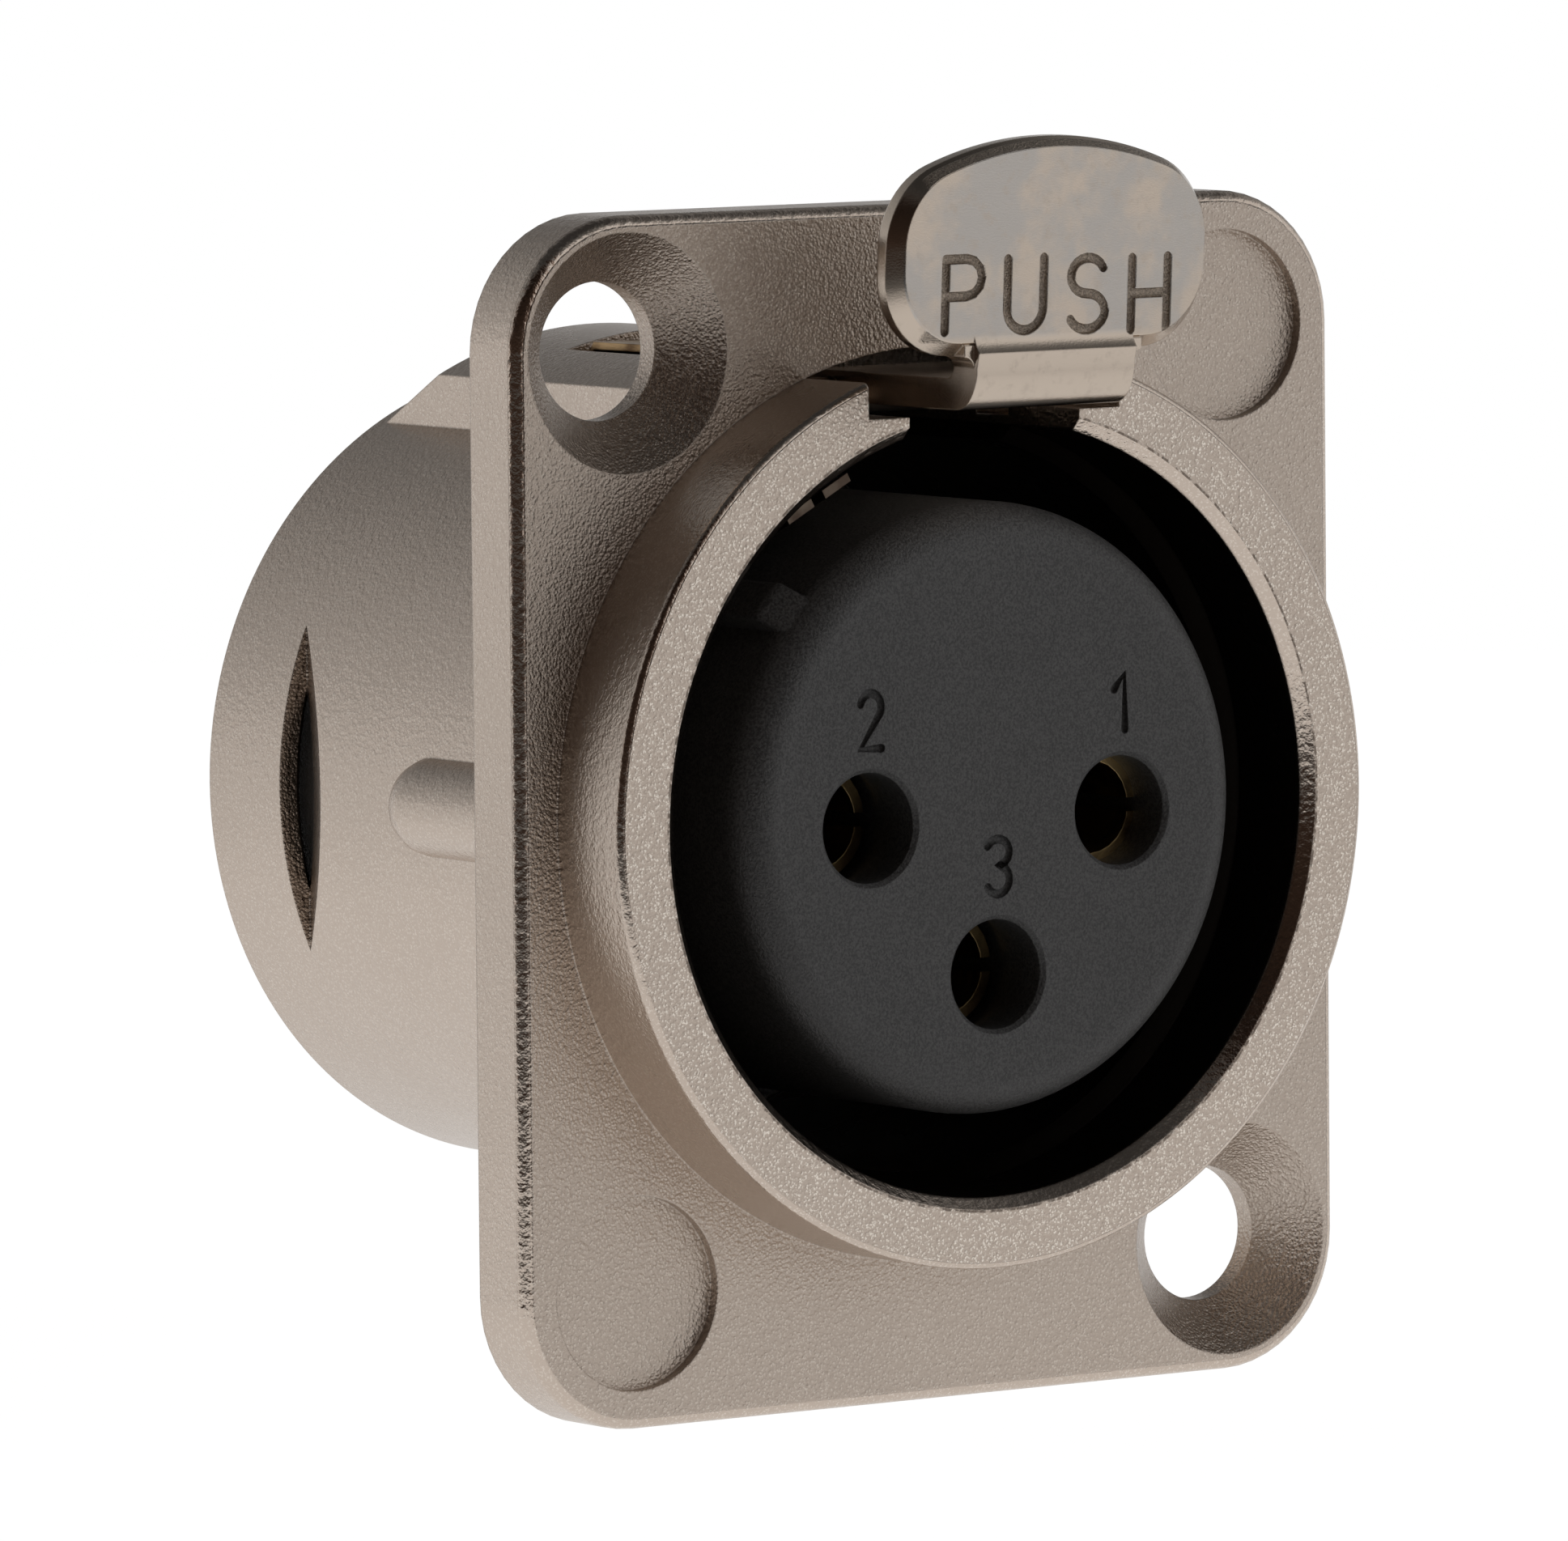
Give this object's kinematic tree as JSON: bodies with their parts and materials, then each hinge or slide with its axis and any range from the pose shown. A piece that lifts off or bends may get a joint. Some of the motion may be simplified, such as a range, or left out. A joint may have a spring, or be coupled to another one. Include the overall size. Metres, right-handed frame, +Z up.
{
  "type": "panel mount audio socket",
  "caption": "Die-cast panel socket with a square flange, round shrouded bore, black contact insert and a sprung push latch on top.",
  "frame": {"origin": "on the bore axis, in the plane of the flange's back face, which rests on the panel", "axes": "+Y points into the panel along the bore axis, +Z up towards the latch, +X to the right seen from the front"},
  "size_m": [0.026, 0.0282, 0.0328],
  "materials": {
    "cast_nickel": "satin nickel plate over a fine-grained zinc die casting",
    "bright_nickel": "smooth bright nickel plate",
    "black_plastic": "black moulded plastic, satin",
    "contact_brass": "turned brass, lightly tarnished",
    "spring_bronze": "rolled spring bronze"
  },
  "bodies": {
    "socket": {"housing": "cast_nickel", "insert": "black_plastic", "retainer": "black_plastic", "contact_1": "contact_brass", "contact_2": "contact_brass", "contact_3": "contact_brass", "ground_contact": "bright_nickel", "latch_spring": "spring_bronze"},
    "latch": {"latch_lever": "bright_nickel"}
  },
  "joints": [
    {"name": "latch_rock", "type": "hinge", "parent": "socket", "child": "latch", "pos_m": [0, -0.001, 0.0106], "axis": [1, 0, 0], "range_deg": [0, 6], "stiffness_Nm_per_rad": 0.05, "springref_deg": -5.73, "deforming": ["latch_spring"]}
  ]
}
